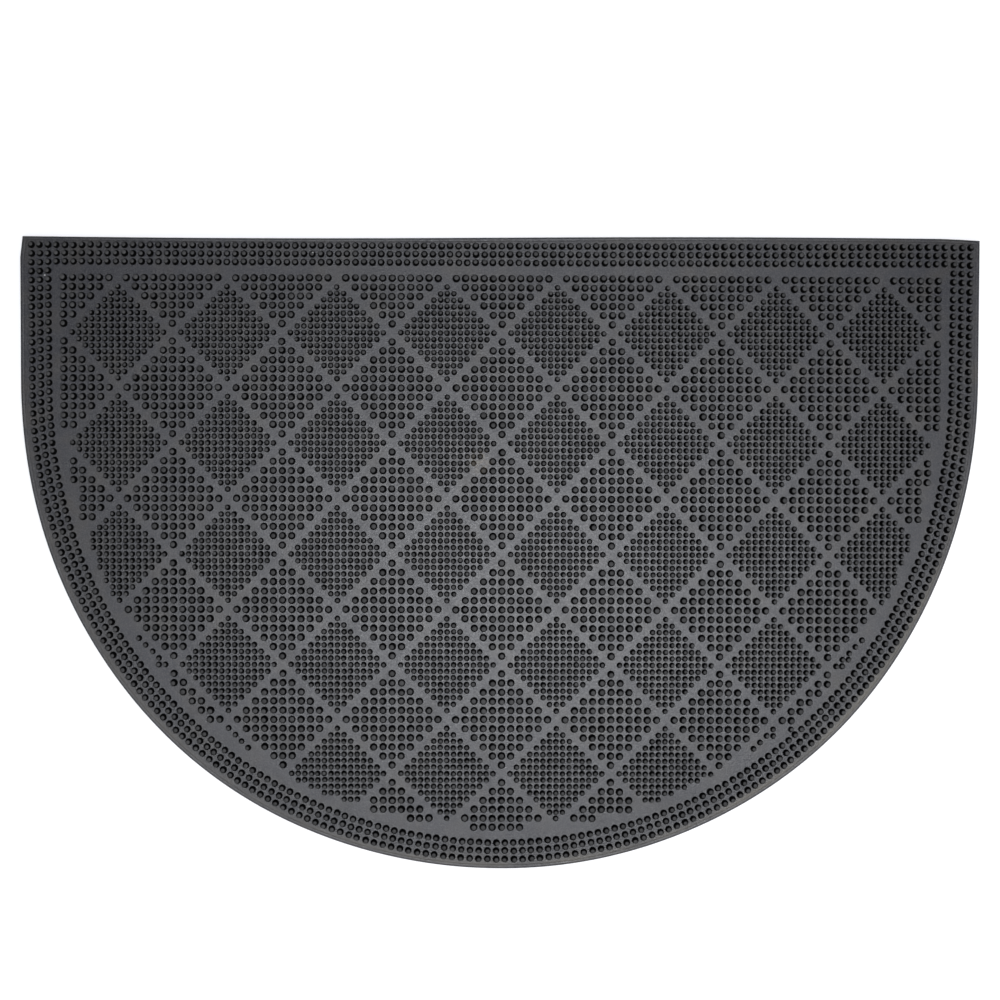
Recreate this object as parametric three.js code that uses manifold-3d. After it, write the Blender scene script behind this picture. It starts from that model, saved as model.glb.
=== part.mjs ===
// Half-round rubber pin mat, moulded in one piece. Millimetres, +Z up.
// Origin: centre of the underside's bounding box. +X runs along the straight edge, +Y points towards it.
// The base sheet's rim is nearly upright. Each patch of pins stands as one raised block, as high as the pins.
import * as THREE from "three";
import { mergeVertices } from "three/addons/utils/BufferGeometryUtils.js";
import Module from "manifold-3d";

// Outline
const WIDTH = 600;
const DEPTH = 395.2;
const EDGE = DEPTH / 2; // the straight edge's place
const ROUND_STEPS = 96;
const EDGE_STEPS = 24;

// Three lines of the mat's D shape: nearly straight sides down to start, then a round.
// roundness is the round's exponent: 2 is an ellipse, more is squarer.
const TRIM = { x: 0, start: 111, semi: { x: 299.3, y: 308.6 }, roundness: 2.06 };
const MIDDLE_ROW = { x: 0.6, start: 104.4, semi: { x: 287.3, y: 290.9 }, roundness: 2.03 };
const FIELD = { x: 0.7, start: 106.9, semi: { x: 273.85, y: 279.05 }, roundness: 2.057 };

// Unevenness of the trimmed outline, all of it inwards
const EDGE_WAVE = 0.8; // the straight edge is a slight S: further in on the left, further out on the right
const ROUND_WAVE = { size: 0.28, perHalfTurn: 4.3 };
const LEFT_CORNER = { down: 14, in: 1.4 }; // the side bends in over this much of its length
const RIGHT_CORNER_DROP = 1.0; // the straight edge's right end stands this much lower

// Heights
const SHEET = 2.8;
const PIN_HEIGHT = 4.2;
const RIM_FACE = 2.4; // upright part of the rim
const RIM_BEVEL = 0.6; // plan width of the slope above it

// Pins, as foot diameters
const BORDER_PIN = 4.1;
const LARGE_PIN = 4.4;
const SMALL_PIN = 3.36;
const PIN_TAPER = 0.7; // how far a pin's side leans in from foot to top

// Border: three rows of pins all round, moulded a little to the right of the trimmed outline
const BORDER_PITCH = 5.2; // from the middle row to the rows outside and inside it
const BORDER_EDGE = 11.4; // middle row's centre line from the straight edge
const BORDER_LEAN = 1.0; // how far the rows lean out from the start of the round to the straight edge

// Field: a check of diamonds, whose rows of pins grow and shrink by one pin at each end
const CELL = { x: 68.66, y: 69.4 }; // from one large diamond to the next
const CENTRE = { x: 1.78, y: 33.42 }; // centre of the large diamond nearest the middle
const LARGE = { pitch: { x: 5.753, y: 5.818 }, reach: 5, pin: LARGE_PIN };
const SMALL = { pitch: { x: 4.132, y: 4.146 }, reach: 7, pin: SMALL_PIN };
const FIELD_EDGE = 25.4; // outermost pins' centres from the straight edge
const FIELD_OVER = 0.6; // how far the blocks reach past the line of those centres

// The rubber drew in a little on cooling: columns close up towards the round, and both pitches towards the rim
const DRAW_IN = { towardsRound: 3.4e-5, x: 1.2e-7, y: 3.75e-7 };
// The pull out of the mould: columns lean and bow to the left, rows bow and fan towards the round
const PULL = { columnLean: 1.4e-3, columnBow: 1.37e-5, rowBow: 6e-6, rowFan: 7e-6 };

const TOP = SHEET + PIN_HEIGHT;
const RUBBER = new THREE.MeshStandardMaterial({ color: 0x4b4c4e, roughness: 0.85, metalness: 0 });

const wasm = await Module();
wasm.setup();

// A D shape's round, anticlockwise from its left start, moved outwards by out and by its ripple
function roundLine(shape, out, ripple = 0) {
  const { semi, roundness } = shape;
  const points = [];
  for (let i = 0; i <= ROUND_STEPS; i++) {
    const turn = Math.PI * (i / ROUND_STEPS);
    const across = -Math.cos(turn);
    const along = Math.sin(turn);
    const x = semi.x * Math.sign(across) * Math.abs(across) ** (2 / roundness);
    const y = semi.y * along ** (2 / roundness);
    const slopeX = (Math.abs(x) / semi.x) ** (roundness - 1) / semi.x;
    const slopeY = (y / semi.y) ** (roundness - 1) / semi.y;
    const normal = new THREE.Vector2(Math.sign(x) * slopeX, -slopeY).normalize();
    const wave = Math.sin(2 * ROUND_WAVE.perHalfTurn * turn) - 1;
    const away = out + ripple * along * wave;
    points.push(new THREE.Vector2(shape.x + x, shape.start - y).addScaledVector(normal, away));
  }
  return points;
}

// The mat's uneven outline moved inwards, anticlockwise from the left start of the round
function outline(inset) {
  const points = roundLine(TRIM, -inset, ROUND_WAVE.size);
  const right = WIDTH / 2 - inset;
  for (let i = 0; i <= EDGE_STEPS; i++) {
    const x = right - (2 * right * i) / EDGE_STEPS;
    const wave = Math.sin((Math.PI * x) / right) - 1;
    const pulled = i === EDGE_STEPS ? LEFT_CORNER.in : 0;
    const dropped = i === 0 ? RIGHT_CORNER_DROP : 0;
    points.push(new THREE.Vector2(x + pulled, EDGE - inset + EDGE_WAVE * wave - dropped));
  }
  points.push(new THREE.Vector2(-right, EDGE - inset - LEFT_CORNER.down));
  return points;
}

// A D shape moved outwards and closed by an even straight edge. lean widens it at that edge.
function evenLine(shape, out, edge, lean = 0) {
  const half = shape.semi.x + lean + out;
  return [
    ...roundLine(shape, out),
    new THREE.Vector2(shape.x + half, edge + out),
    new THREE.Vector2(shape.x - half, edge + out),
  ];
}

// A closed solid through a stack of outlines with equal numbers of points, anticlockwise, from low to high
function stack(levels) {
  const count = levels[0].points.length;
  const position = [];
  const index = [];
  for (const { points, z } of levels) {
    for (const p of points) position.push(p.x, p.y, z);
  }
  for (let level = 0; level + 1 < levels.length; level++) {
    for (let i = 0; i < count; i++) {
      const a = level * count + i;
      const b = level * count + ((i + 1) % count);
      index.push(a, b, b + count);
      index.push(a, b + count, a + count);
    }
  }
  const top = (levels.length - 1) * count;
  for (const [a, b, c] of THREE.ShapeUtils.triangulateShape(levels[0].points, [])) {
    index.push(a, c, b);
  }
  for (const [a, b, c] of THREE.ShapeUtils.triangulateShape(levels.at(-1).points, [])) {
    index.push(top + a, top + b, top + c);
  }
  const geometry = new THREE.BufferGeometry();
  geometry.setAttribute("position", new THREE.Float32BufferAttribute(position, 3));
  geometry.setIndex(index);
  return solidOf(geometry);
}

function solidOf(geometry) {
  const merged = mergeVertices(geometry, 1e-4);
  const mesh = new wasm.Mesh({
    numProp: 3,
    vertProperties: merged.attributes.position.array,
    triVerts: new Uint32Array(merged.index.array),
  });
  return new wasm.Manifold(mesh);
}

function geometryOf(solid) {
  const mesh = solid.getMesh();
  const geometry = new THREE.BufferGeometry();
  geometry.setAttribute("position", new THREE.BufferAttribute(mesh.vertProperties, 3));
  geometry.setIndex(new THREE.BufferAttribute(mesh.triVerts, 1));
  geometry.computeVertexNormals();
  return geometry;
}

// Base sheet: upright rim face below, slope above it
function baseSheet() {
  return stack([
    { points: outline(0), z: 0 },
    { points: outline(0), z: RIM_FACE },
    { points: outline(RIM_BEVEL), z: SHEET },
  ]);
}

// A raised block whose foot is half a sheet deep in the base. pointsAt(lean) gives its outline, drawn in by lean.
function raised(pointsAt) {
  return stack([
    { points: pointsAt(0), z: SHEET / 2 },
    { points: pointsAt(0), z: SHEET },
    { points: pointsAt(PIN_TAPER), z: TOP },
  ]);
}

// The band of border rows: a raised block over the whole inside, less the same block three rows further in
function borderBand() {
  const half = BORDER_PITCH + BORDER_PIN / 2;
  const line = (out) => evenLine(MIDDLE_ROW, out, EDGE - BORDER_EDGE, BORDER_LEAN);
  const whole = raised((lean) => line(half - lean));
  const inside = stack([
    { points: line(-half), z: SHEET },
    { points: line(PIN_TAPER - half), z: TOP },
    { points: line(PIN_TAPER - half), z: TOP + SHEET },
  ]);
  return whole.subtract(inside);
}

// Where a point of the even check lies once the rubber has drawn in. x and y count from CENTRE.
function settled(x, y) {
  const across = x * (1 + DRAW_IN.towardsRound * y) * (1 - DRAW_IN.x * x * x);
  const up = y * (1 - DRAW_IN.y * y * y);
  return new THREE.Vector2(
    CENTRE.x + across - PULL.columnLean * y - PULL.columnBow * x * x,
    CENTRE.y + up - PULL.rowBow * (x * x + y * y) - PULL.rowFan * x * y,
  );
}

// One diamond of pins as a raised block round the even check's point x, y
function diamond(kind, x, y) {
  const reachX = kind.pitch.x * kind.reach + kind.pin / Math.SQRT2;
  const reachY = kind.pitch.y * kind.reach + kind.pin / Math.SQRT2;
  return raised((lean) => [
    settled(x + reachX - lean, y),
    settled(x, y + reachY - lean),
    settled(x - reachX + lean, y),
    settled(x, y - reachY + lean),
  ]);
}

// The check of diamonds, cut off at the edge of the field
function field() {
  const blocks = [];
  const columns = Math.ceil(WIDTH / 2 / CELL.x);
  const rows = Math.ceil(DEPTH / 2 / CELL.y) + 1;
  for (let m = -columns; m <= columns; m++) {
    for (let n = -rows; n <= rows; n++) {
      const x = m * CELL.x;
      const y = n * CELL.y;
      blocks.push(diamond(LARGE, x, y));
      blocks.push(diamond(SMALL, x + CELL.x / 2, y + CELL.y / 2));
    }
  }
  const line = evenLine(FIELD, FIELD_OVER, EDGE - FIELD_EDGE);
  const inField = stack([
    { points: line, z: 0 },
    { points: line, z: TOP + SHEET },
  ]);
  return wasm.Manifold.union(blocks).intersect(inField);
}

const mat = new THREE.Mesh(geometryOf(baseSheet().add(borderBand()).add(field())), RUBBER);
mat.name = "mat";

const group = new THREE.Group();
group.add(mat);

export default group;
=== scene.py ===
# Half-round rubber pin mat, moulded in one piece. Metres, +Z up, in the frame of the imported solids.
# Origin: centre of the underside's box. +X runs along the straight edge, +Y points towards it.
# The sheet, its rim and each pin are geometry. The grain, stains and dust are in the rubber's nodes, as
# are the painted shade on the pins' sides and the painted sheen on their tops.
import math

import bpy
import numpy as np
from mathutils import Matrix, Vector


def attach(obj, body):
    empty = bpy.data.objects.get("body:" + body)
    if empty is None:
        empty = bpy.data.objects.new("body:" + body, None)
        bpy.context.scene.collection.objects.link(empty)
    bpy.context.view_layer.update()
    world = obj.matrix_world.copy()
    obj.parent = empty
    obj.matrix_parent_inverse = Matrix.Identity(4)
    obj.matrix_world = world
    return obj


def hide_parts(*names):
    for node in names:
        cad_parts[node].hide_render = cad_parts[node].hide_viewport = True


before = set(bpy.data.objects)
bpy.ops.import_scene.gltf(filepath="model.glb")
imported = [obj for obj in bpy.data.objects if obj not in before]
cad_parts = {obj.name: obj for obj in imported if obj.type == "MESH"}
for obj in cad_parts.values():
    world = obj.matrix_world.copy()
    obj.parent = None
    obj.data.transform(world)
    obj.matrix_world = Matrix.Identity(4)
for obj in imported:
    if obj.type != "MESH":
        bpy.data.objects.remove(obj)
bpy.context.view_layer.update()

MM = 0.001
SEED = 4

# Trimmed outline
WIDTH = 600 * MM
DEPTH = 395.2 * MM
EDGE = DEPTH / 2  # the straight edge's place
ROUND_STEPS = 192
EDGE_STEPS = 48

# Three lines of the mat's D shape: nearly straight sides down to start, then a round.
# roundness is the round's exponent: 2 is an ellipse, more is squarer.
TRIM = {"x": 0.0, "start": 111.0 * MM, "semi": (299.3 * MM, 308.6 * MM), "roundness": 2.06}
MIDDLE_ROW = {"x": 0.6 * MM, "start": 104.4 * MM, "semi": (287.3 * MM, 290.9 * MM), "roundness": 2.03}
FIELD = {"x": 0.7 * MM, "start": 106.9 * MM, "semi": (273.85 * MM, 279.05 * MM), "roundness": 2.057}
ROW_LEAN = 1.0 * MM  # how far the border rows lean out from the start of the round to the straight edge
FIELD_EDGE = 25.4 * MM  # outermost field pins' centres from the straight edge at its furthest

# Unevenness of the trimmed outline, all of it inwards
EDGE_WAVE = 0.8 * MM  # the straight edge is a slight S
ROUND_WAVE_SIZE = 0.28 * MM
ROUND_WAVES = 4.3  # per half turn
LEFT_CORNER_DOWN = 14 * MM  # the left side bends in over this much of its length
LEFT_CORNER_IN = 1.4 * MM
RIGHT_CORNER_BACK = 20 * MM  # the straight edge slopes down to its right end over this much
RIGHT_CORNER_DROP = 1.0 * MM

# Heights
SHEET = 2.8 * MM
PIN_HEIGHT = 4.2 * MM
TOP = SHEET + PIN_HEIGHT

# Rim from the floor up: how far in from the outline and how high in millimetres, and how dusty
RIM = [
    (0.15, 0.0, 0.2),
    (0.0, 0.2, 0.2),
    (0.0, 2.4, 0.2),
    (0.12, 2.6, 0.1),
    (0.35, 2.705, 0.1),
    (1.0, 2.74, 0.25),
    (1.7, 2.72, 0.6),
    (1.95, 2.67, 0.5),
    (2.2, 2.78, 0.8),
    (2.7, 2.8, 0.9),
    (4.2, 2.8, 0.5),
    (8.0, 2.8, 0.0),
]

# Pins, as foot radii
BORDER_PIN = 2.08 * MM
LARGE_PIN = 2.28 * MM
SMALL_PIN = 1.7 * MM
SLIVER_PIN = 1.78 * MM
PIN_TAPER = 0.8 * MM  # how far a pin's side leans in from foot to top
SMALL_TAPER = 0.62 * MM
PIN_SIDES = 14
SMALL_PIN_SIDES = 12
FOOT_FILLET = 0.18 * MM
FOOT_FILLET_TOP = 0.35 * MM
FOOT_SUNK = 0.05 * MM  # how deep the foot starts in the sheet
TOP_ROUNDING = (0.25 * MM, 0.3 * MM)  # of the top's edge: inwards and down
TOP_DISH = 0.12 * MM  # how far the top's middle lies below its edge

# How unevenly the pins are moulded, as standard deviations
PLACE_SPREAD = 0.08 * MM
LEAN_SPREAD = 0.17 * MM
FOOT_SPREAD = 0.02  # share of the radius
TOP_SPREAD = 0.035  # share of the radius
HEIGHT_SPREAD = 0.08 * MM
MEAN_SHORTFALL = 0.1 * MM
MOST_SHORTFALL = 0.3 * MM

# Border: rows of pins all round
BORDER_ROWS = 3
BORDER_PITCH = 5.2 * MM
TOP_ROW = 6.2 * MM  # first row's centre line from the straight edge at its furthest
BORDER_INTERVALS = 199  # between the pins of each row down one side, round and up the other
EDGE_INTERVALS = 110  # between the pins of each row along the straight edge
# How far the pins stand along from even places, as waves over the row's length
BORDER_CREEP = (0.7 * MM, 0.75 * MM, -0.25 * MM)  # of one wave, half a wave and one and a half
EDGE_CREEP = (1.5 * MM, -0.45 * MM)  # of half a wave that grows to the right, and one wave
EDGE_SHIFT = -0.3 * MM

# Field: a check of diamonds, whose rows of pins grow and shrink by one pin at each end
CELL = (68.66 * MM, 69.4 * MM)
CENTRE = (1.78 * MM, 33.42 * MM)
LARGE_PITCH = (5.753 * MM, 5.818 * MM)
LARGE_REACH = 5
SMALL_PITCH = (4.132 * MM, 4.146 * MM)
SMALL_REACH = 7
# Small diamonds that the border all but cuts off: only these of their pins stand, and they are stouter
SLIVERS = {
    (-4, -2): [(7, 0), (6, 0), (6, 1), (5, 2), (4, 3), (3, 4)],
    (3, -2): [(-7, 0), (-6, 0), (-6, 1), (-5, 1), (-5, 2), (-4, 3), (-3, 4)],
    (-3, -3): [(3, 4), (2, 5), (1, 6), (0, 7)],
    (2, -3): [(-3, 4), (-2, 5), (-1, 6), (0, 6), (0, 7)],
}
# One pin of a large diamond's edge, cut off by the border to a small one
PIP_CELL = (3, -2)
PIP_STEP = (-4, -1)
# The rubber drew in a little on cooling
DRAW_IN_ROUND = 0.034  # per metre: columns close up towards the round
DRAW_IN_X = 0.12  # per square metre: the pitch closes up towards the rim
DRAW_IN_Y = 0.375
# The pull out of the mould, per metre: columns lean and bow to the left, rows bow and fan
COLUMN_LEAN = 0.0014
COLUMN_BOW = 0.0137
ROW_BOW = 0.006
ROW_FAN = 0.007

# Rubber's colours
SHEET_DARK = (0.0105, 0.0112, 0.017)
SHEET_BLOOM = (0.016, 0.0165, 0.021)
STAIN_BROWN = (0.026, 0.0225, 0.0195)
SPECKLE_GREY = (0.042, 0.042, 0.044)
# Painted shade: the pins' sides are painted near black for the shade deep between the pins, though they
# are the sheet's rubber.
FLANK_PAINTED_SHADE = (0.002, 0.002, 0.002)
# Painted sheen: the pins' tops are painted paler than the sheet's rubber, in place of the highlight that
# their weak gloss loses. Each pin takes a random tone between these two.
CROWN_SHEEN_DARK = (0.029, 0.029, 0.0295)
CROWN_SHEEN_PALE = (0.050, 0.050, 0.051)
RIM_DUST = (0.078, 0.071, 0.060)

# Rubber's gloss
SHEET_SPECULAR = 0.215
PIN_SPECULAR = 0.05
DULL_ROUGHNESS = 0.40
FLANK_ROUGHNESS = 0.4
CROWN_ROUGHNESS = 0.37

# Rubber's patterns. noise gives scale per metre, detail and roughness, and the noise's range is stretched.
BLOOM = {"noise": (14.0, 3.0, 0.5), "range": (0.35, 0.65), "stretched": (0.0, 1.0)}
STAINS = {"noise": (55.0, 4.0, 0.5), "range": (0.48, 0.7), "stretched": (0.0, 0.8)}
SPECKLE = {"noise": (1000.0, 4.0, 0.6), "range": (0.45, 0.7), "stretched": (0.0, 1.0)}
POLISH = {"noise": (700.0, 4.0, 0.6), "range": (0.3, 0.7), "stretched": (0.25, 0.37)}
DULL_PATCHES = {"noise": (80.0, 3.0, 0.5), "range": (0.45, 0.75), "stretched": (0.0, 0.6)}
DUST_PATCHES = {"noise": (25.0, 4.0, 0.5), "range": (0.35, 0.6), "stretched": (0.4, 1.0)}
STREAKS = {"noise": (330.0, 4.0, 0.6), "range": (0.4, 0.62), "stretched": (0.0, 1.0)}
BUMPS = (1100.0, 4.0, 0.6)
BUMP_STRENGTH = 0.6
BUMP_HEIGHT = 0.2 * MM

# Where the patterns change: a range of places and its share of the change
# The band up each pin where the sides' painted shade and their roughness take over
FLANK = ((SHEET + 0.05 * MM, SHEET + 0.35 * MM), (0.0, 1.0))  # up a pin
# The band at each pin's top where the painted sheen takes over
CROWN = ((TOP - 0.7 * MM, TOP - 0.3 * MM), (0.0, 1.0))
DUST_DOWN = ((-60 * MM, 80 * MM), (1.0, 0.12))  # from the round towards the straight edge
DUST_ACROSS = ((-100 * MM, 220 * MM), (0.7, 1.3))  # from left to right

# Dust and two specks of grit on the mat: place, radius, colour
MARKS = [
    ((-12.5 * MM, 56.5 * MM), 9.0 * MM, (0.075, 0.062, 0.042)),
    ((-284.6 * MM, 172.4 * MM), 0.7 * MM, (0.4, 0.4, 0.4)),
    ((-116.7 * MM, 186.7 * MM), 0.7 * MM, (0.35, 0.35, 0.35)),
]
MARK_CORE = 0.4  # share of the radius that is wholly covered
MARK_COVER = 0.8
STREAKED_FROM = 1 * MM  # a mark of more than this radius is streaky

# Camera
CAMERA = (-30 * MM, 25 * MM, 1.25)
LOOKED_AT = (0.61 * MM, 32.8 * MM)  # the picture's centre on the floor
CAMERA_TURN = 0.2  # degrees about the view line
VIEW_HALF_WIDTH = 313.3 * MM  # half the picture's width on the floor
SENSOR = 36.0

# Floor, lamp and surround
FLOOR_HALF = 4.0
FLOOR_GREY = (0.9, 0.9, 0.9)
FLOOR_ROUGHNESS = 0.9
LAMP = (0.125, -0.125, 2.6)
LAMP_SIZE = (1.0, 0.57)
LAMP_WATTS = 71.5
LAMP_COLOUR = (0.95, 0.965, 1.0)
ROOM_HEIGHTS = (0.35, 0.85)  # the room dims between these heights, where straight up is 1
ROOM_LEVELS = (0.7, 0.06)
BRIGHT_SIDE = (0.45, -0.89, 0.0)
SIDE_LEVELS = (0.0, 2.0)  # opposite the bright side, and on it

rng = np.random.default_rng(SEED)


def round_line(shape, out=0.0, ripple=0.0):
    """A D shape's round, anticlockwise from its left start, moved outwards by out and by its ripple."""
    semi_x, semi_y = shape["semi"]
    power = shape["roundness"]
    points = []
    for i in range(ROUND_STEPS + 1):
        turn = math.pi * i / ROUND_STEPS
        across = -math.cos(turn)
        down = math.sin(turn)
        x = semi_x * math.copysign(abs(across) ** (2 / power), across)
        y = semi_y * down ** (2 / power)
        slope_x = math.copysign((abs(x) / semi_x) ** (power - 1) / semi_x, x)
        slope_y = (y / semi_y) ** (power - 1) / semi_y
        normal = Vector((slope_x, -slope_y)).normalized()
        away = out + ripple * down * (math.sin(2 * ROUND_WAVES * turn) - 1)
        points.append((shape["x"] + x + normal.x * away, shape["start"] - y + normal.y * away))
    return points


def outline(inset):
    """The mat's outline moved inwards: points, anticlockwise from the left start of the round."""
    points = round_line(TRIM, -inset, ROUND_WAVE_SIZE)
    right = WIDTH / 2 - inset
    for i in range(EDGE_STEPS + 1):
        x = right - 2 * right * i / EDGE_STEPS
        wave = math.sin(math.pi * x / right) - 1
        pulled = LEFT_CORNER_IN if i == EDGE_STEPS else 0.0
        dropped = RIGHT_CORNER_DROP * max(0.0, 1 - (right - x) / RIGHT_CORNER_BACK)
        points.append((x + pulled, EDGE - inset + EDGE_WAVE * wave - dropped))
    points.append((-right, EDGE - inset - LEFT_CORNER_DOWN))
    return np.array(points)


def new_object(name, mesh):
    piece = bpy.data.objects.new(name, mesh)
    bpy.context.scene.collection.objects.link(piece)
    return piece


def base_sheet():
    """The closed sheet: the rim's rings from the floor up, a flat underside and a flat top."""
    rings = [(outline(inset * MM), z * MM) for inset, z, dust in RIM]
    count = len(rings[0][0])
    vertices = []
    faces = []
    for points, z in rings:
        vertices.extend((x, y, z) for x, y in points)
    for level in range(len(rings) - 1):
        for i in range(count):
            a = level * count + i
            b = level * count + (i + 1) % count
            faces.append((a, b, b + count, a + count))
    top = (len(rings) - 1) * count
    faces.append(tuple(range(count - 1, -1, -1)))
    faces.append(tuple(range(top, top + count)))
    mesh = bpy.data.meshes.new("base_sheet")
    mesh.from_pydata(vertices, [], faces)
    mesh.validate()
    layer = mesh.attributes.new("dust", "FLOAT", "POINT")
    layer.data.foreach_set("value", np.repeat([dust for inset, z, dust in RIM], count))
    return new_object("base_sheet", mesh)


def points_along(points, share, creep):
    """Points of a polyline at the given shares of its length, each moved along by its creep."""
    lengths = np.linalg.norm(np.diff(points, axis=0), axis=1)
    way = np.concatenate([[0.0], np.cumsum(lengths)])
    stops = share * way[-1] + creep
    return np.column_stack([np.interp(stops, way, points[:, k]) for k in range(2)])


def half_waves(share, number):
    return np.sin(number * math.pi * share)


def border_places():
    """Centres of the border pins: each row down the left, round and up the right, then along the edge."""
    top_row = EDGE - TOP_ROW
    half_top = MIDDLE_ROW["semi"][0] + ROW_LEAN
    share = np.linspace(0.0, 1.0, BORDER_INTERVALS + 1)
    creep = BORDER_CREEP[0] * half_waves(share, 2) + BORDER_CREEP[1] * half_waves(share, 1)
    creep += BORDER_CREEP[2] * half_waves(share, 3)
    places = []
    for row in range(BORDER_ROWS):
        out = (1 - row) * BORDER_PITCH
        left = (MIDDLE_ROW["x"] - half_top - out, top_row)
        right = (MIDDLE_ROW["x"] + half_top + out, top_row)
        path = np.array([left, *round_line(MIDDLE_ROW, out), right])
        places.append(points_along(path, share, creep))
    share = np.linspace(0.0, 1.0, EDGE_INTERVALS + 1)[BORDER_ROWS:-BORDER_ROWS]
    half = half_top + BORDER_PITCH
    columns = MIDDLE_ROW["x"] + EDGE_SHIFT - half + 2 * half * share
    columns += EDGE_CREEP[0] * share * half_waves(share, 1) + EDGE_CREEP[1] * half_waves(share, 2)
    for row in range(BORDER_ROWS):
        places.append(np.column_stack([columns, np.full(len(columns), top_row - row * BORDER_PITCH)]))
    return np.vstack(places)


def settled(x, y):
    """Where a point of the even check lies once the rubber has drawn in. x and y count from CENTRE."""
    across = x * (1 + DRAW_IN_ROUND * y) * (1 - DRAW_IN_X * x * x)
    up = y * (1 - DRAW_IN_Y * y * y)
    across -= COLUMN_LEAN * y + COLUMN_BOW * x * x
    up -= ROW_BOW * (x * x + y * y) + ROW_FAN * x * y
    return CENTRE[0] + across, CENTRE[1] + up


def steps_of(reach):
    """Steps of a whole diamond's pins from its centre."""
    steps = []
    for j in range(-reach, reach + 1):
        wide = reach - abs(j)
        steps.extend((i, j) for i in range(-wide, wide + 1))
    return steps


def diamond(cell_x, cell_y, pitch, steps):
    """Centres of one diamond's pins, settled."""
    return [settled(cell_x + i * pitch[0], cell_y + j * pitch[1]) for i, j in steps]


def in_field(places):
    """Which places lie inside the field's line."""
    x = np.abs(places[:, 0] - FIELD["x"]) / FIELD["semi"][0]
    y = np.maximum(FIELD["start"] - places[:, 1], 0.0) / FIELD["semi"][1]
    level = x ** FIELD["roundness"] + y ** FIELD["roundness"]
    return (level <= 1) & (places[:, 1] <= EDGE - FIELD_EDGE)


def field_places():
    """Centres of the large, the small and the sliver pins that lie within the field."""
    columns = math.ceil(WIDTH / 2 / CELL[0])
    rows = math.ceil(DEPTH / 2 / CELL[1]) + 2
    large = []
    small = []
    sliver = []
    for m in range(-columns, columns + 1):
        for n in range(-rows, rows + 1):
            x = m * CELL[0]
            y = n * CELL[1]
            large.extend(diamond(x, y, LARGE_PITCH, steps_of(LARGE_REACH)))
            closer = sliver if (m, n) in SLIVERS else small
            steps = SLIVERS.get((m, n), steps_of(SMALL_REACH))
            closer.extend(diamond(x + CELL[0] / 2, y + CELL[1] / 2, SMALL_PITCH, steps))
    sliver.extend(diamond(PIP_CELL[0] * CELL[0], PIP_CELL[1] * CELL[1], LARGE_PITCH, [PIP_STEP]))
    large = np.array(large)
    small = np.array(small)
    return large[in_field(large)], small[in_field(small)], np.array(sliver)


def pin_layers(places, foot, taper, sides):
    """Vertices and normals of all the pins, ring by ring from the foot up and then the top's middle."""
    count = len(places)
    places = places + rng.normal(0.0, PLACE_SPREAD, (count, 2))
    lean = rng.normal(0.0, LEAN_SPREAD, (count, 2))
    change = np.clip(rng.normal(-MEAN_SHORTFALL, HEIGHT_SPREAD, count), -MOST_SHORTFALL, 0.0)
    height = PIN_HEIGHT + change
    foot_radius = foot * (1 + rng.normal(0.0, FOOT_SPREAD, count))
    top_radius = (foot - taper) * (1 + rng.normal(0.0, TOP_SPREAD, count))
    start = rng.uniform(0.0, 2 * math.pi, count)
    # Each ring's radius, height above the sheet, share of the lean, and how far its normal leans out
    rings = [
        (foot_radius + FOOT_FILLET, np.full(count, -FOOT_SUNK), 0.0, 0.6),
        (foot_radius, np.full(count, FOOT_FILLET_TOP), 0.1, 0.97),
        (top_radius, height - TOP_ROUNDING[1], 0.95, 0.9),
        (top_radius - TOP_ROUNDING[0], height, 1.0, 0.2),
    ]
    turn = start[:, None] + np.linspace(0.0, 2 * math.pi, sides, endpoint=False)[None, :]
    out = np.stack([np.cos(turn), np.sin(turn)], axis=-1)
    layers = []
    normals = []
    for radius, z, leaning, outward in rings:
        xy = places[:, None, :] + lean[:, None, :] * leaning + out * radius[:, None, None]
        level = np.broadcast_to((SHEET + z)[:, None, None], (count, sides, 1))
        layers.append(np.concatenate([xy, level], axis=-1))
        up = math.sqrt(1 - outward ** 2)
        normals.append(np.concatenate([out * outward, np.full((count, sides, 1), up)], axis=-1))
    middle = (SHEET + height - TOP_DISH)[:, None]
    layers.append(np.concatenate([places + lean, middle], axis=1)[:, None, :])
    normals.append(np.broadcast_to(np.array([0.0, 0.0, 1.0]), (count, 1, 3)))
    return np.concatenate(layers, axis=1), np.concatenate(normals, axis=1), len(rings)


def pin_faces(sides, rings):
    """One pin's faces as corners: its walls, its top round the middle, and its underside."""
    faces = []
    for level in range(rings - 1):
        for i in range(sides):
            a = level * sides + i
            b = level * sides + (i + 1) % sides
            faces.append((a, b, b + sides, a + sides))
    top = (rings - 1) * sides
    middle = rings * sides
    faces.extend((top + i, top + (i + 1) % sides, middle) for i in range(sides))
    faces.append(tuple(range(sides - 1, -1, -1)))
    return faces


def pins(name, places, foot, taper, sides):
    """One mesh with a tapered pin at each place, every one moulded a little differently."""
    count = len(places)
    vertices, normals, rings = pin_layers(places, foot, taper, sides)
    tone = rng.uniform(0.0, 1.0, count)
    each = vertices.shape[1]
    faces = pin_faces(sides, rings)
    corners = np.array([corner for face in faces for corner in face])
    all_corners = (corners[None, :] + each * np.arange(count)[:, None]).ravel()
    all_sizes = np.tile([len(face) for face in faces], count)
    starts = np.concatenate([[0], np.cumsum(all_sizes)[:-1]])

    mesh = bpy.data.meshes.new(name)
    mesh.vertices.add(count * each)
    mesh.vertices.foreach_set("co", vertices.reshape(-1))
    mesh.loops.add(len(all_corners))
    mesh.loops.foreach_set("vertex_index", all_corners)
    mesh.polygons.add(len(all_sizes))
    mesh.polygons.foreach_set("loop_start", starts)
    mesh.polygons.foreach_set("use_smooth", np.ones(len(all_sizes), dtype=bool))
    mesh.update(calc_edges=True)
    mesh.validate()
    mesh.normals_split_custom_set_from_vertices(normals.reshape(-1, 3))
    shade = mesh.attributes.new("tone", "FLOAT", "POINT")
    shade.data.foreach_set("value", np.repeat(tone, each))
    return new_object(name, mesh)


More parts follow.
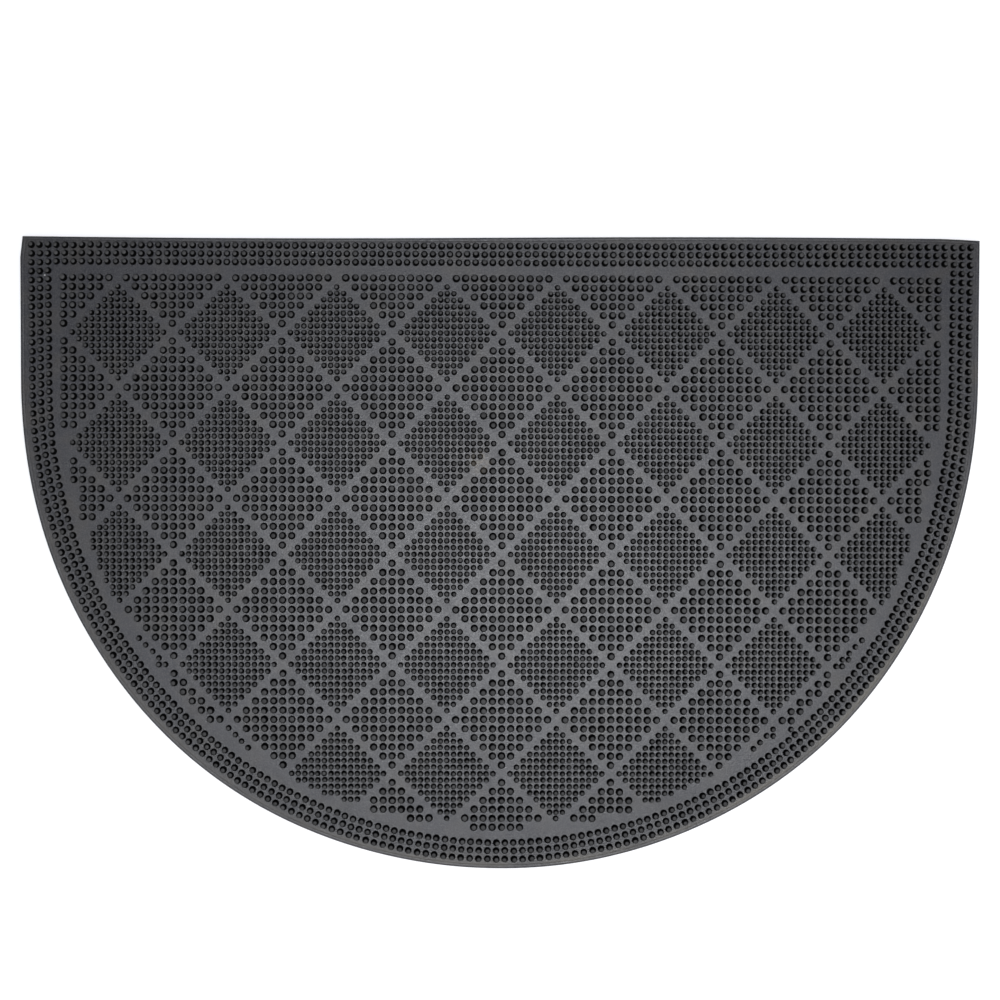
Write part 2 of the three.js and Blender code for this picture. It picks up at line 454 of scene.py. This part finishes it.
class NodeGraph:
    """Short calls for the nodes of one material or of the surround. Each returns the node's output."""

    def __init__(self, owner, coordinates):
        owner.use_nodes = True
        self.nodes = owner.node_tree.nodes
        self.links = owner.node_tree.links
        self.place = self.nodes.new("ShaderNodeTexCoord").outputs[coordinates]

    def split(self):
        """The coordinates' X, Y and Z."""
        node = self.nodes.new("ShaderNodeSeparateXYZ")
        self.links.new(self.place, node.inputs["Vector"])
        return node.outputs["X"], node.outputs["Y"], node.outputs["Z"]

    def attribute(self, layer):
        node = self.nodes.new("ShaderNodeAttribute")
        node.attribute_name = layer
        return node.outputs["Fac"]

    def noise(self, scale, detail, roughness):
        node = self.nodes.new("ShaderNodeTexNoise")
        node.inputs["Scale"].default_value = scale
        node.inputs["Detail"].default_value = detail
        node.inputs["Roughness"].default_value = roughness
        self.links.new(self.place, node.inputs["Vector"])
        return node.outputs["Fac"]

    def mapped(self, value, span, to):
        """A value whose range span is stretched to the range to, and held there beyond it."""
        node = self.nodes.new("ShaderNodeMapRange")
        node.inputs["From Min"].default_value, node.inputs["From Max"].default_value = span
        node.inputs["To Min"].default_value, node.inputs["To Max"].default_value = to
        self.links.new(value, node.inputs["Value"])
        return node.outputs["Result"]

    def pattern(self, kind):
        return self.mapped(self.noise(*kind["noise"]), kind["range"], kind["stretched"])

    def product(self, a, b):
        node = self.nodes.new("ShaderNodeMath")
        node.operation = "MULTIPLY"
        self.links.new(a, node.inputs[0])
        self.links.new(b, node.inputs[1])
        return node.outputs["Value"]

    def vector_value(self, operation, vector, other):
        """A number worked out from a linked vector and a fixed one."""
        node = self.nodes.new("ShaderNodeVectorMath")
        node.operation = operation
        self.links.new(vector, node.inputs[0])
        node.inputs[1].default_value = other
        return node.outputs["Value"]

    def mixed(self, kind, factor, a, b):
        """a blended into b by factor. kind is FLOAT or RGBA, and a and b are outputs or fixed values."""
        node = self.nodes.new("ShaderNodeMix")
        node.data_type = kind
        for name, value in (("Factor", factor), ("A", a), ("B", b)):
            socket = next(s for s in node.inputs if s.name == name and s.enabled)
            if isinstance(value, bpy.types.NodeSocket):
                self.links.new(value, socket)
            else:
                socket.default_value = (*value, 1.0) if kind == "RGBA" else value
        return next(s for s in node.outputs if s.enabled)


def marked(graph, colour, x, y):
    """The colour with the dust patch and the specks of grit on it."""
    above = graph.nodes.new("ShaderNodeCombineXYZ")
    graph.links.new(x, above.inputs["X"])
    graph.links.new(y, above.inputs["Y"])
    streaks = graph.pattern(STREAKS)
    for spot, radius, stain in MARKS:
        away = graph.vector_value("DISTANCE", above.outputs["Vector"], (*spot, 0.0))
        covered = graph.mapped(away, (radius, MARK_CORE * radius), (0.0, MARK_COVER))
        if radius > STREAKED_FROM:
            covered = graph.product(covered, streaks)
        colour = graph.mixed("RGBA", covered, colour, stain)
    return colour


def rubber(name, is_pin):
    """Black rubber: grey bloom in patches, fine grain, dust on the rim, and on pins a duller top. The
    pins' sides are painted near black as painted shade, and their tops are painted paler as painted sheen.
    """
    material = bpy.data.materials.new(name)
    graph = NodeGraph(material, "Object")
    shader = graph.nodes["Principled BSDF"]
    shader.inputs["Specular IOR Level"].default_value = PIN_SPECULAR if is_pin else SHEET_SPECULAR
    x, y, z = graph.split()
    colour = graph.mixed("RGBA", graph.pattern(BLOOM), SHEET_DARK, SHEET_BLOOM)
    colour = graph.mixed("RGBA", graph.pattern(STAINS), colour, STAIN_BROWN)
    colour = graph.mixed("RGBA", graph.pattern(SPECKLE), colour, SPECKLE_GREY)
    rough = graph.mixed("FLOAT", graph.pattern(DULL_PATCHES), graph.pattern(POLISH), DULL_ROUGHNESS)
    if is_pin:
        # Painted shade: near black up the pins' sides, for the shade between the pins
        flank = graph.mapped(z, *FLANK)
        colour = graph.mixed("RGBA", flank, colour, FLANK_PAINTED_SHADE)
        rough = graph.mixed("FLOAT", flank, rough, FLANK_ROUGHNESS)
        # Painted sheen: the tops are painted paler than the sheet, each pin at its own random tone
        crown = graph.mapped(z, *CROWN)
        shade = graph.mixed("RGBA", graph.attribute("tone"), CROWN_SHEEN_DARK, CROWN_SHEEN_PALE)
        colour = graph.mixed("RGBA", crown, colour, shade)
        rough = graph.mixed("FLOAT", crown, rough, CROWN_ROUGHNESS)
    else:
        dust = graph.product(graph.attribute("dust"), graph.mapped(y, *DUST_DOWN))
        uneven = graph.product(graph.pattern(DUST_PATCHES), graph.mapped(x, *DUST_ACROSS))
        colour = graph.mixed("RGBA", graph.product(dust, uneven), colour, RIM_DUST)
    colour = marked(graph, colour, x, y)
    graph.links.new(colour, shader.inputs["Base Color"])
    graph.links.new(rough, shader.inputs["Roughness"])
    bump = graph.nodes.new("ShaderNodeBump")
    bump.inputs["Strength"].default_value = BUMP_STRENGTH
    bump.inputs["Distance"].default_value = BUMP_HEIGHT
    graph.links.new(graph.noise(*BUMPS), bump.inputs["Height"])
    graph.links.new(bump.outputs["Normal"], shader.inputs["Normal"])
    return material


sheet_rubber = rubber("rubber_sheet", is_pin=False)
pin_rubber = rubber("rubber_pins", is_pin=True)

base = base_sheet()
base.data.materials.append(sheet_rubber)

border = border_places()
large, small, sliver = field_places()
pieces = [
    pins("border_pins", border, BORDER_PIN, PIN_TAPER, PIN_SIDES),
    pins("sliver_pins", sliver, SLIVER_PIN, SMALL_TAPER, PIN_SIDES),
    pins("large_pins_left", large[large[:, 0] < 0], LARGE_PIN, PIN_TAPER, PIN_SIDES),
    pins("large_pins_right", large[large[:, 0] >= 0], LARGE_PIN, PIN_TAPER, PIN_SIDES),
    pins("small_pins_left", small[small[:, 0] < 0], SMALL_PIN, SMALL_TAPER, SMALL_PIN_SIDES),
    pins("small_pins_right", small[small[:, 0] >= 0], SMALL_PIN, SMALL_TAPER, SMALL_PIN_SIDES),
]
for piece in pieces:
    piece.data.materials.append(pin_rubber)

for piece in [base, *pieces]:
    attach(piece, "root")
    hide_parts("mat")


def floor():
    """A pale floor."""
    corners = [(-1, -1), (1, -1), (1, 1), (-1, 1)]
    mesh = bpy.data.meshes.new("floor")
    mesh.from_pydata([(FLOOR_HALF * x, FLOOR_HALF * y, 0) for x, y in corners], [], [(0, 1, 2, 3)])
    plane = new_object("floor", mesh)
    material = bpy.data.materials.new("floor")
    material.use_nodes = True
    shader = material.node_tree.nodes["Principled BSDF"]
    shader.inputs["Base Color"].default_value = (*FLOOR_GREY, 1.0)
    shader.inputs["Roughness"].default_value = FLOOR_ROUGHNESS
    mesh.materials.append(material)


def soft_light():
    """A rectangular lamp facing down."""
    light = bpy.data.lights.new("overhead", "AREA")
    light.shape = "RECTANGLE"
    light.size, light.size_y = LAMP_SIZE
    light.energy = LAMP_WATTS
    light.color = LAMP_COLOUR
    lamp = new_object("overhead", light)
    lamp.location = LAMP


def surround():
    """A white room, brighter beyond the round, dark overhead so that flat black rubber isn't veiled."""
    world = bpy.data.worlds.new("surround")
    graph = NodeGraph(world, "Generated")
    up = graph.split()[2]
    level = graph.mapped(up, ROOM_HEIGHTS, ROOM_LEVELS)
    facing = graph.vector_value("DOT_PRODUCT", graph.place, BRIGHT_SIDE)
    strength = graph.product(level, graph.mapped(facing, (-1.0, 1.0), SIDE_LEVELS))
    background = graph.nodes["Background"]
    background.inputs["Color"].default_value = (1.0, 1.0, 1.0, 1.0)
    graph.links.new(strength, background.inputs["Strength"])
    bpy.context.scene.world = world


def camera():
    """A camera that looks straight down, shifted sideways to the picture's centre."""
    lens = bpy.data.cameras.new("camera")
    lens.sensor_width = SENSOR
    lens.lens = SENSOR / 2 * CAMERA[2] / VIEW_HALF_WIDTH
    width = 2 * VIEW_HALF_WIDTH
    turn = math.radians(CAMERA_TURN)
    right = LOOKED_AT[0] - CAMERA[0]
    up = LOOKED_AT[1] - CAMERA[1]
    lens.shift_x = (right * math.cos(turn) + up * math.sin(turn)) / width
    lens.shift_y = (up * math.cos(turn) - right * math.sin(turn)) / width
    seen = new_object("camera", lens)
    seen.location = CAMERA
    seen.rotation_euler = (0.0, 0.0, turn)
    bpy.context.scene.camera = seen


floor()
camera()
soft_light()
surround()
bpy.context.scene.view_settings.view_transform = "Standard"
